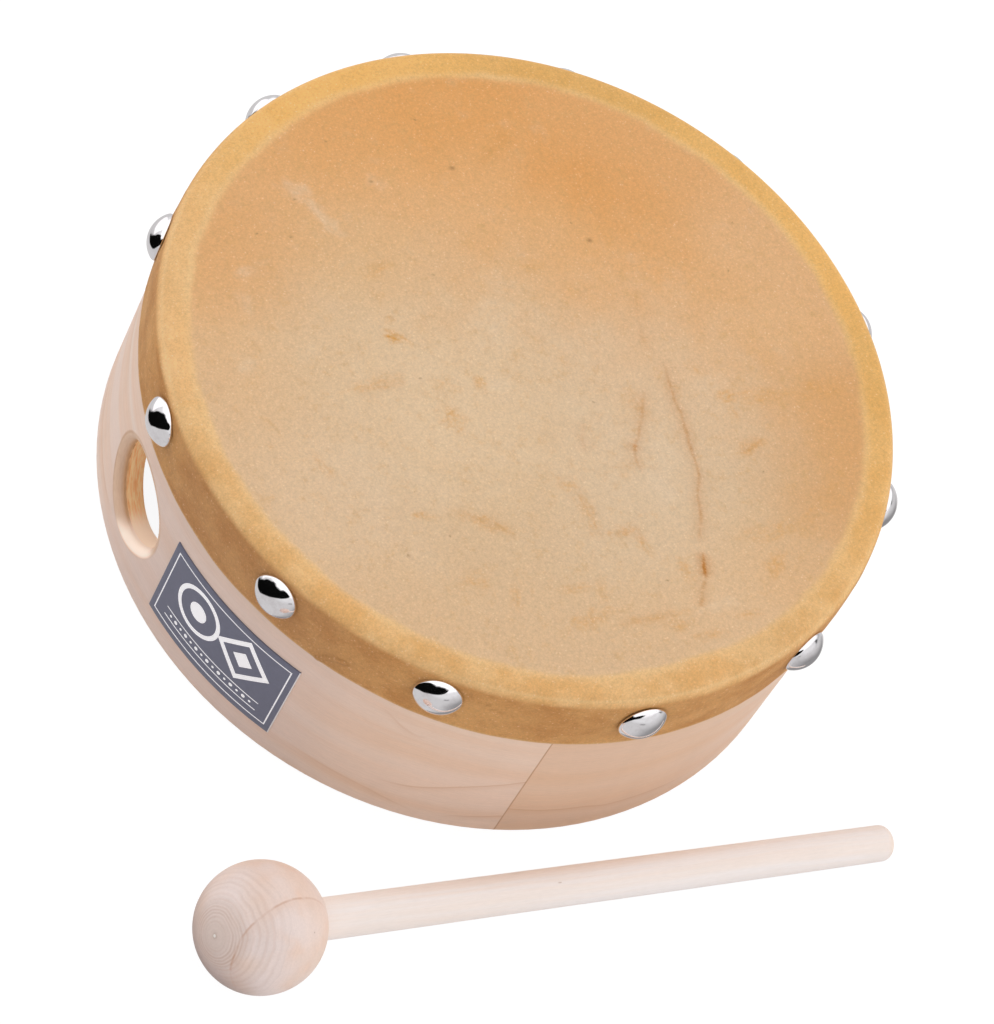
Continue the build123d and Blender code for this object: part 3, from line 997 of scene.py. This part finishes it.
def build_skin(mat_out, mat_in):
    profile, outside = skin_profile()
    radius, z, zone = (np.repeat(column, SKIN_SEGS) for column in profile.T)
    theta = np.tile(circle_angles(SKIN_SEGS), len(profile))
    x, y = radius * np.cos(theta), radius * np.sin(theta)
    angle = np.degrees(theta)
    place = points(x, y, z)
    head = zone <= CORNER
    on_top, on_corner, on_band = zone == TOP, zone == CORNER, zone == BAND

    def round_drum(frequency, third):
        """Noise coordinates that close up round the drum."""
        return points(np.cos(theta) * frequency, np.sin(theta) * frequency, third)

    # masks for the material
    edge = (edge_radius(angle) + 0.9 * gnoise(round_drum(9, 0))
            + 0.5 * gnoise(round_drum(30, 5)))
    ring = smooth(radius - edge, -0.9, 1.1)
    # painted highlight along the inner boundary of the ring, which also lifts the skin a little
    halo = bell(radius - edge - 0.6, 1.25) * head * (0.75 + 0.8 * gnoise(place * 0.09 + 3))
    vein, ridge = vein_marks(x, y, place)
    stain = patch_marks(x, y, STAINS, seed=3.0, stroke=1.25)
    scuff = patch_marks(x, y, SCUFFS, seed=90.0, stroke=0.9)
    pore = np.zeros_like(x)
    for pore_x, pore_y, size in PORES:
        distance = np.hypot((x - pore_x) * 0.8, y - pore_y)
        pore = np.maximum(pore, 0.9 * bell(distance, size))
    band_edge = z + 0.25 * gnoise(round_drum(14, 9))
    band = np.where(on_top, 0.0, np.where(
        zone <= BAND, smooth(band_edge, SKIN_TOP - 1.35, SKIN_TOP - 3.35), 1.0))
    # painted highlight line along the rolled corner
    crest = bell(radius - (SKIN_R - CREST), 0.36) * on_corner
    cut = np.where(zone == HEM, 1.0, np.where(
        on_band, smooth(z, BAND_LOW + 1.1, BAND_LOW + 0.3) * 0.8, 0.0))

    # lift of the head and the wandering cut edge
    membrane = (1 - ring) * on_top
    corner_r = SKIN_R - ROLL
    roll = smooth(radius, corner_r, SKIN_R)
    lift = -MEMBRANE_SAG * membrane + 0.05 * halo
    lift += 0.10 * fbm(place * 0.035) * membrane
    lift += 0.035 * ridge * membrane
    lift += 0.06 * gnoise(place * 0.5) * on_top
    lift += (0.16 * fbm(round_drum(7, 0)) * on_corner * (1 - roll)
             * smooth(radius, corner_r, corner_r + 1))
    hanging = (zone >= BAND) & (zone < LINER_TOP)
    lift += 0.45 * fbm(round_drum(5, 2)) * smooth(z, BAND_LOW + 9.0, BAND_LOW) * hanging

    # the stretched fold bellies out a little at the height of the tacks
    push = 0.30 * bell(z - 61.0, 6.0) * on_band
    push += 0.18 * fbm(round_drum(8, z * 0.10)) * on_band
    push += 0.05 * gnoise(place * 0.8) * on_band
    relief, band_shade = band_relief(angle, z, on_band)
    pushed = radius + push + relief

    verts = points(pushed * np.cos(theta), pushed * np.sin(theta), z + lift)
    verts = np.vstack([verts, [0, 0, SKIN_TOP - MEMBRANE_SAG], [0, 0, WOOD_TOP + LINER_GAP]])
    face_mat = ([0] * ((outside - 1) * SKIN_SEGS) + [1] * ((len(profile) - outside) * SKIN_SEGS)
                + [0] * SKIN_SEGS + [1] * SKIN_SEGS)
    masks = {"ring": ring * head, "halo": halo, "vein": vein * head, "stain": stain * head,
             "pore": pore * head, "band": band, "band_shade": band_shade, "crest": crest,
             "scuff": scuff * head, "cut": cut}
    # the two pole vertices follow the rest
    attrs = {key: np.concatenate([mask, [mask[0], 0.0]]) for key, mask in masks.items()}
    return solid("skin_head", verts, lathe_faces(len(profile), SKIN_SEGS), [mat_out, mat_in],
                 face_mat, attrs)


# ---------------------------------------------------------------------------
# tacks: stamped hollow domes, each driven a little askew
# ---------------------------------------------------------------------------
def tack_profile():
    """(radius, height) rows over the dome and back inside, and the count outside."""
    dome_r = (TACK_R ** 2 + TACK_H ** 2) / (2 * TACK_H)
    dome_z = TACK_H - dome_r
    # the dome rounds over into a short side that comes down nearly to the skin
    fillet = 1.6
    fillet_r = TACK_R - fillet
    fillet_z = math.sqrt((dome_r - fillet) ** 2 - fillet_r ** 2) + TACK_H - dome_r
    meet = math.asin(fillet_r / (dome_r - fillet))
    low = -0.86

    def sweep(radius, centre_r, centre_z, angles):
        return [(centre_r + radius * math.sin(a), centre_z + radius * math.cos(a))
                for a in angles]

    rows = sweep(dome_r, 0.0, dome_z, np.linspace(0.03, meet, 24))
    rows += sweep(fillet, fillet_r, fillet_z, np.linspace(meet, PI / 2, 9)[1:])
    rows += [(TACK_R - 0.01, low + 0.16), (TACK_R - 0.08, low + 0.04), (TACK_R - 0.22, low),
             (TACK_R - 0.42, low + 0.05)]
    outside = len(rows)
    rows.append((TACK_R - TACK_T, low + 0.20))
    rows += sweep(fillet - TACK_T, fillet_r, fillet_z, np.linspace(PI / 2, meet, 5)[1:])
    rows += sweep(dome_r - TACK_T, 0.0, dome_z, np.linspace(meet, 0.03, 10)[1:])
    return rows, outside


def build_tacks(mat, mat_in):
    profile, outside = tack_profile()
    segs = 72
    rng = np.random.RandomState(5)
    verts, faces, face_mat = [], [], []
    for angle in TACK_ANGLES:
        base = len(verts)
        yaw, pitch = rng.uniform(-1.8, 1.8, 2)
        placing = (Matrix.Rotation(math.radians(angle), 4, "Z")
                   @ Matrix.Translation(Vector((SKIN_R + TACK_OFF, 0, TACK_Z)))
                   @ Matrix.Rotation(math.radians(yaw), 4, "Z")
                   @ Matrix.Rotation(math.radians(90 + pitch), 4, "Y"))
        dent = rng.uniform(0, 2 * PI)
        local = []
        for radius, height in profile:
            for t in circle_angles(segs):
                wide = radius * (1.0 + 0.004 * math.cos(2 * t + dent))
                dip = 0.02 * math.cos(3 * t + dent) * (radius / TACK_R) ** 2
                local.append((wide * math.cos(t), wide * math.sin(t), height - dip))
        local += [(0, 0, TACK_H), (0, 0, TACK_H - TACK_T)]
        verts += [tuple(placing @ Vector(p)) for p in local]
        faces += [tuple(i + base for i in f) for f in lathe_faces(len(profile), segs)]
        face_mat += ([0] * ((outside - 1) * segs) + [1] * ((len(profile) - outside) * segs)
                     + [0] * segs + [1] * segs)
    return solid("tack_heads", verts, faces, [mat, mat_in], face_mat)


# ---------------------------------------------------------------------------
# badge: thin curved plate with a raised border line and a plain motif
# ---------------------------------------------------------------------------
PLATE_MAT, LINE_MAT, EDGE_MAT = range(3)
PLATE_BACK, PLATE_FRONT = SHELL_R + 0.01, SHELL_R + 0.43
LINE_BACK, LINE_FRONT = SHELL_R + 0.40, SHELL_R + 0.455


def badge_vert(bm, across, up, radius):
    """Vertex at a place on the badge, measured from its middle."""
    angle = math.radians(BADGE_ANGLE) + across / SHELL_R
    return bm.verts.new((radius * math.cos(angle) * MM, radius * math.sin(angle) * MM,
                         (BADGE_Z + up) * MM))


def add_face(bm, corners, material, smooth_face=False):
    face = bm.faces.new(corners)
    face.material_index = material
    face.smooth = smooth_face


def raised_line(bm, inner, outer):
    """Closed band between two loops with the same number of points."""
    low_in, high_in, low_out, high_out = (
        [badge_vert(bm, *p, radius) for p in loop]
        for loop, radius in ((inner, LINE_BACK), (inner, LINE_FRONT),
                             (outer, LINE_BACK), (outer, LINE_FRONT)))
    for i in range(len(inner)):
        j = (i + 1) % len(inner)
        for corners in ((high_in[i], high_in[j], high_out[j], high_out[i]),
                        (low_in[j], low_in[i], low_out[i], low_out[j]),
                        (high_out[i], high_out[j], low_out[j], low_out[i]),
                        (high_in[j], high_in[i], low_in[i], low_in[j])):
            add_face(bm, corners, LINE_MAT)


def rect_loop(half_w, half_h):
    corners = np.array([(-half_w, -half_h), (half_w, -half_h), (half_w, half_h),
                        (-half_w, half_h)], float)
    steps = 24
    return [tuple(start + (end - start) * t / steps)
            for start, end in zip(corners, np.roll(corners, -1, axis=0)) for t in range(steps)]


def circle_loop(x, z, radius, steps=72):
    return [(x + radius * math.cos(2 * PI * i / steps), z + radius * math.sin(2 * PI * i / steps))
            for i in range(steps)]


def diamond_loop(x, z, radius):
    """Square standing on its corner, 18 points to a side."""
    out = []
    for side in range(4):
        for t in range(18):
            part = PI / 2 * t / 18
            reach = abs(math.cos(part)) + abs(math.sin(part))
            angle = PI / 2 * side + part
            out.append((x + radius * math.cos(angle) / reach,
                        z + radius * math.sin(angle) / reach))
    return out


def plate_grid(bm, half_w, half_h, bevel=0.12):
    """Solid curved rectangle with softened front edges and one pale end."""
    def stations(half, count, last_edge):
        return np.concatenate([[-half, -half + bevel],
                               np.linspace(-half + bevel, half - bevel, count)[1:-1],
                               [half - last_edge, half]])
    across = stations(half_w, 36, last_edge=0.30)
    up = stations(half_h, 20, last_edge=bevel)
    last_i, last_j = len(across) - 1, len(up) - 1
    front, back = {}, {}
    for i, u in enumerate(across):
        for j, v in enumerate(up):
            on_edge = i in (0, last_i) or j in (0, last_j)
            front[i, j] = badge_vert(bm, u, v, PLATE_FRONT - (bevel * 0.7 if on_edge else 0))
            back[i, j] = badge_vert(bm, u, v, PLATE_BACK)
    for i in range(last_i):
        for j in range(last_j):
            add_face(bm, (front[i, j], front[i + 1, j], front[i + 1, j + 1], front[i, j + 1]),
                     EDGE_MAT if i == last_i - 1 else PLATE_MAT, smooth_face=True)
            add_face(bm, (back[i, j], back[i, j + 1], back[i + 1, j + 1], back[i + 1, j]),
                     PLATE_MAT)
    for i in range(last_i):
        for j, order in ((0, 1), (last_j, -1)):
            corners = (front[i, j], back[i, j], back[i + 1, j], front[i + 1, j])
            add_face(bm, corners[::order], PLATE_MAT)
    for j in range(last_j):
        for i, order, material in ((0, -1, PLATE_MAT), (last_i, 1, EDGE_MAT)):
            corners = (front[i, j], back[i, j], back[i, j + 1], front[i, j + 1])
            add_face(bm, corners[::order], material)


def build_badge(*mats):
    half_w = math.radians(BADGE_END - BADGE_START) * SHELL_R / 2
    half_h = (BADGE_HIGH - BADGE_LOW) / 2
    bm = bmesh.new()
    plate_grid(bm, half_w, half_h)
    border_w, border_h = half_w - 1.9, half_h - 2.2
    raised_line(bm, rect_loop(border_w - 0.36, border_h - 0.36), rect_loop(border_w, border_h))
    # a ring and a diamond side by side, each round a solid centre
    motif_x, motif_z = 8.6, 3.4
    speck = 0.01                # inner loop of a filled shape
    for inner, outer in ((6.9, 8.3), (speck, 3.1)):
        raised_line(bm, circle_loop(-motif_x, motif_z, inner),
                    circle_loop(-motif_x, motif_z, outer))
    for inner, outer in ((7.0, 9.2), (speck, 3.3)):
        raised_line(bm, diamond_loop(motif_x, motif_z, inner),
                    diamond_loop(motif_x, motif_z, outer))
    # two thin rules with a row of dots between them
    for rule_z in (-7.6, -11.0):
        raised_line(bm, [(p[0], rule_z) for p in rect_loop(17.6, 0.001)],
                    [(p[0], rule_z + p[1]) for p in rect_loop(17.8, 0.17)])
    for i in range(15):
        dot_x, dot_r = -15.4 + i * 2.2, 0.62 if i % 2 else 0.42
        raised_line(bm, circle_loop(dot_x, -9.3, speck, steps=12),
                    circle_loop(dot_x, -9.3, dot_r, steps=12))
    bmesh.ops.remove_doubles(bm, verts=bm.verts, dist=1e-7)
    me = bpy.data.meshes.new("badge_plate")
    bmesh.ops.recalc_face_normals(bm, faces=bm.faces)
    bm.to_mesh(me)
    bm.free()
    for mat in mats:
        me.materials.append(mat)
    return link("badge_plate", me)


# ---------------------------------------------------------------------------
# beater: turned ball with a blind socket, tapered handle
# ---------------------------------------------------------------------------
def revolve_x(name, profile, segs, mat, wobble):
    """Solid of revolution about X from (x, radius) rows that start and end on the axis."""
    verts = np.array([(x, r * math.cos(t), r * math.sin(t))
                      for x, r in profile[1:-1] for t in circle_angles(segs)])
    verts = np.vstack([wobble(verts), [profile[0][0], 0, 0], [profile[-1][0], 0, 0]])
    ob = solid(name, verts, lathe_faces(len(profile) - 2, segs), [mat])
    ob.matrix_world = (Matrix.Translation(BALL_AT * MM) @ Matrix.Rotation(HEADING, 4, "Z")
                       @ Matrix.Rotation(TILT, 4, "Y"))
    return ob


def build_ball(mat):
    socket_r = ROD_BALL + 0.02
    lip_r = socket_r + 0.25
    mouth = math.sqrt(BALL_R ** 2 - lip_r ** 2)
    profile = [(SOCKET_FLOOR, r) for r in (0.0, 2.0, 4.0, socket_r)]
    profile += [(x, socket_r) for x in np.linspace(SOCKET_FLOOR + 1, mouth - 0.25, 10)]
    profile += [(BALL_R * math.cos(a), BALL_R * math.sin(a))
                for a in np.linspace(math.asin(lip_r / BALL_R), PI - 0.02, 170)]
    profile.append((-BALL_R, 0.0))
    pole = np.array(to_beater(POLE))

    def wobble(verts):
        """Turning grooves round the pole, a centre nub and a slight flattening."""
        r = np.linalg.norm(verts, axis=1)
        on_ball = (r > BALL_R - 0.01) & (np.hypot(verts[:, 1], verts[:, 2]) > 0.01)
        cos = np.clip((verts @ pole) / np.maximum(r, 1e-6), -1, 1)
        rho = BALL_R * np.sqrt(1 - cos * cos)
        groove = (0.020 * np.sin(rho * 5.2 + 1.3 * gnoise(verts * 0.1))
                  + 0.03 * gnoise(points(rho * 0.9, 0, 0))) * (cos > 0) * smooth(rho, 16.5, 12)
        nub = np.where(cos > 0, -0.10 * bell(rho, 1.5) + 0.12 * smooth(rho, 0.60, 0.38), 0)
        flat = 0.06 * gnoise(verts * 0.055)
        grow = np.where(on_ball, 1 + (groove + nub + flat - 0.05) / BALL_R, 1.0)
        return verts * grow[:, None]
    return revolve_x("beater_ball", profile, 260, mat, wobble)


def build_handle(mat):
    ball_exit = math.sqrt(BALL_R ** 2 - ROD_BALL ** 2)
    taper_start, taper_end = ball_exit + 1.5, ROD_L - ROD_ROUND
    profile = [(SOCKET_FLOOR, 0.0), (SOCKET_FLOOR, 2.0), (SOCKET_FLOOR, ROD_BALL - 0.4),
               (SOCKET_FLOOR + 0.4, ROD_BALL)]
    profile += [(x, ROD_BALL) for x in np.linspace(SOCKET_FLOOR + 1, taper_start, 12)]
    for x in np.linspace(taper_start, taper_end, 230)[1:]:
        t = (x - taper_start) / (taper_end - taper_start)
        profile.append((x, ROD_BALL + (ROD_END - ROD_BALL) * t))
    face_r = ROD_END - ROD_ROUND
    for t in np.radians(np.linspace(0, 90, 14)[1:]):
        profile.append((taper_end + ROD_ROUND * math.sin(t), face_r + ROD_ROUND * math.cos(t)))
    profile += [(ROD_L, face_r - 0.7), (ROD_L, 0.8), (ROD_L, 0.0)]

    def wobble(verts):
        """Slight unevenness outside the ball."""
        x, y, z = verts.T
        r = np.hypot(y, z)
        swell = (0.05 * gnoise(points(x * 0.02, y * 0.15, z * 0.15))
                 + 0.02 * gnoise(points(x * 0.25, y * 0.5, z * 0.5)) - 0.02)
        grow = np.where((x > ball_exit + 0.5) & (r > 1.0), 1 + swell / np.maximum(r, 1.0), 1.0)
        return points(x, y * grow, z * grow)
    return revolve_x("beater_handle", profile, 112, mat, wobble)


# ---------------------------------------------------------------------------
# build
# ---------------------------------------------------------------------------
for node_name, make_material, slot in (
        ("shell_outer_ply", shell_outer_material, "shell_outer_wood"),
        ("shell_inner_ply", shell_inner_material, "shell_inner_wood"),
        ("tack_nails", steel_material, "nail_steel")):
    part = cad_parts[node_name]
    part.data.materials.clear()
    part.data.materials.append(make_material())

skin = build_skin(skin_material(), skin_under_material())
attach(skin, "drum")
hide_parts("drumhead")

tacks = build_tacks(chrome_material(), cap_shade_material())
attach(tacks, "drum")
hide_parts("tack_caps")

# the line and edge materials glow faintly: painted light
badge = build_badge(
    badge_material("badge_slate", dark=(103, 104, 122), light=(116, 117, 136), rough=0.42),
    badge_material("badge_line", dark=(252, 250, 255), light=(255, 254, 255), rough=0.40,
                   glow=0.13),
    badge_material("badge_edge", dark=(206, 200, 200), light=(226, 222, 222), rough=0.45,
                   glow=0.10))
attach(badge, "drum")
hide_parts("badge")

ball = build_ball(ball_material())
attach(ball, "beater")
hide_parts("mallet_ball")

handle = build_handle(handle_material())
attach(handle, "beater")
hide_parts("mallet_handle")

# ---------------------------------------------------------------------------
# floor and world
# ---------------------------------------------------------------------------
# (azimuth, elevation) of the lower and upper edge of the dark opening, in degrees;
# azimuth is measured from 195 degrees
OPENING_LOW = [
    (-80, -36), (-65, -41), (-55, -43), (-45, -42), (-35, -40), (-25, -33), (-15, -25),
    (-5, -18), (5, -10), (15, -2), (25, 4), (35, 9), (45, 14), (55, 19), (66, 26), (78, 36)]
OPENING_HIGH = [
    (-80, -36), (-65, -25), (-55, -13), (-45, 12), (-35, 24), (-25, 33), (-15, 35),
    (-5, 35), (5, 37), (15, 38), (25, 41), (35, 44), (45, 45), (55, 45), (66, 41), (78, 36)]


def studio_level(graph, direction):
    """Brightness a mirror sees: a white tent, a grey table and a dark opening."""
    unit = graph.vec("NORMALIZE", direction)
    x, y, z = graph.split(unit)
    cos, sin = math.cos(math.radians(195.0)), math.sin(math.radians(195.0))
    azimuth = graph.math("ARCTAN2", y * cos - x * sin, x * cos + y * sin) * DEGREES
    rise = graph.math("ARCSINE", z) * DEGREES
    wave = (graph.noise(unit, scale=5.0) - 0.5) * 9.0
    low = graph.curve(azimuth, OPENING_LOW)
    high = graph.curve(azimuth, OPENING_HIGH)
    dark = (rise - low).ramp(-1.0, 2.5) * (high - rise + wave).ramp(-4.0, 5.0)
    # the table darkens to one side, the tent brightens overhead and dims opposite the opening
    side = azimuth.ramp(55.0, 118.0) * azimuth.ramp(185.0, 165.0) * rise.ramp(-2.0, -34.0)
    table = 0.66 + side * -0.36
    sky = 0.84 + rise.ramp(20.0, 34.0) * 0.40
    sky = sky + abs(azimuth).ramp(128.0, 160.0) * rise.ramp(26.0, 6.0) * -0.42
    level = table + rise.ramp(-6.0, 14.0) * (sky - table)
    # one white panel, one dark slot and one small grey spot
    white = (azimuth.ramp(-118.0, -104.0) * azimuth.ramp(-48.0, -61.0)
             * rise.ramp(-26.0, -12.0))
    level = level.max(white * 1.25)
    slot_mask = (azimuth.ramp(139.0, 146.0) * azimuth.ramp(158.0, 150.0)
                 * rise.ramp(3.0, 9.0) * rise.ramp(24.0, 18.0))
    spot = abs(azimuth - 73.0).ramp(11.0, 5.0) * abs(rise + 1.5).ramp(4.0, 1.5)
    level = level * (1.0 - slot_mask * 0.80) * (1.0 - spot * 0.42)
    return level * (1.0 - dark) + 0.003


def floor_material():
    """Near white to the camera, the studio to mirrors, pale and diffuse to other rays."""
    mat = bpy.data.materials.new("pale_floor")
    mat.use_nodes = True
    graph = Graph(mat.node_tree)
    ray = graph.outputs("LightPath")
    shaded = graph.node("BsdfDiffuse", {0: (0.14, 0.14, 0.14, 1)})
    glow = graph.node("Emission", {0: (1, 1, 1, 1), 1: 0.93})
    seen = graph.node("AddShader", {0: shaded, 1: glow})
    bounced = graph.node("BsdfDiffuse", {0: (0.86, 0.86, 0.87, 1)})
    outgoing = graph.scaled(graph.node("NewGeometry", out="Incoming"), -1.0)
    mirrored = graph.node("Emission", {0: (1.0, 0.985, 0.975, 1),
                                       1: studio_level(graph, outgoing)})
    indirect = graph.mix_shader(ray["Is Glossy Ray"], bounced, mirrored)
    graph.new("OutputMaterial", {0: graph.mix_shader(ray["Is Camera Ray"], indirect, seen)})
    return mat


def build_world():
    """White to the camera, the studio to mirrors, a soft ambient to other rays."""
    world = bpy.data.worlds.new("studio")
    bpy.context.scene.world = world
    world.use_nodes = True
    graph = Graph(world.node_tree)
    ray = graph.outputs("LightPath")
    seen = graph.node("Background", {0: (1, 1, 1, 1), 1: 1.05})
    ambient = graph.node("Background", {0: (1.0, 0.99, 0.985, 1), 1: 0.50})
    direction = graph.node("TexCoord", out="Generated")
    mirrored = graph.node("Background", {0: (1.0, 0.995, 0.99, 1),
                                         1: studio_level(graph, direction)})
    indirect = graph.mix_shader(ray["Is Glossy Ray"], ambient, mirrored)
    graph.new("OutputWorld", {0: graph.mix_shader(ray["Is Camera Ray"], indirect, seen)})


bpy.ops.mesh.primitive_plane_add(size=12.0, location=(0, 0, -0.0002))
floor = bpy.context.object
floor.name = "floor"
floor.data.materials.append(floor_material())
build_world()

# ---------------------------------------------------------------------------
# lights and camera, in metres
# ---------------------------------------------------------------------------
LIGHT_TARGET = Vector((0, 0, 0.03))
# name, place, size, watts
SOFTBOXES = [
    ("overhead", (0.15, 0.15, 1.35), (1.3, 1.3), 3.4),
    ("back_left", (-0.62, 1.12, 0.65), (0.9, 0.9), 6.0),
    ("left", (-1.15, 0.35, 0.65), (0.9, 0.9), 0.6),
    ("far_right", (1.25, 0.05, 0.45), (0.8, 0.7), 4.6),
    ("right", (1.05, -0.65, 0.60), (0.8, 0.8), 2.0),
    ("front_right", (0.6, -1.1, 0.40), (0.8, 0.8), 1.5),
    ("front", (-0.55, -1.15, 0.35), (0.9, 0.6), 2.0),
]
for name, place, size, watts in SOFTBOXES:
    lamp = bpy.data.lights.new(name, "AREA")
    lamp.shape = "RECTANGLE"
    lamp.size, lamp.size_y = size
    lamp.energy = watts
    light = link(name, lamp)
    light.location = place
    light.rotation_euler = (LIGHT_TARGET - Vector(place)).to_track_quat("-Z", "Y").to_euler()
    light.visible_glossy = False

CAMERA_AT = Vector((-0.476072, -0.498908, 0.933764))
camera_data = bpy.data.cameras.new("camera")
camera_data.sensor_width = 36.0
camera_data.sensor_fit = "AUTO"
camera_data.lens = 147.0772265625
camera_data.clip_start = 0.05
camera_data.clip_end = 50.0
camera = bpy.data.objects.new("camera", camera_data)
# directions of the picture's right and down, squared up
right = Vector((0.9007, -0.3057, 0.3086)).normalized()
down = Vector((-0.1142, -0.8522, -0.5106))
down = (down - right * down.dot(right)).normalized()
forward = right.cross(down).normalized()
turn = Matrix((right, -down, -forward)).transposed()
camera.matrix_world = Matrix.Translation(CAMERA_AT) @ turn.to_4x4()
bpy.context.scene.collection.objects.link(camera)
bpy.context.scene.camera = camera

view = bpy.context.scene.view_settings
view.view_transform = "Standard"
view.look = "None"
view.exposure = 0.0
view.gamma = 1.0
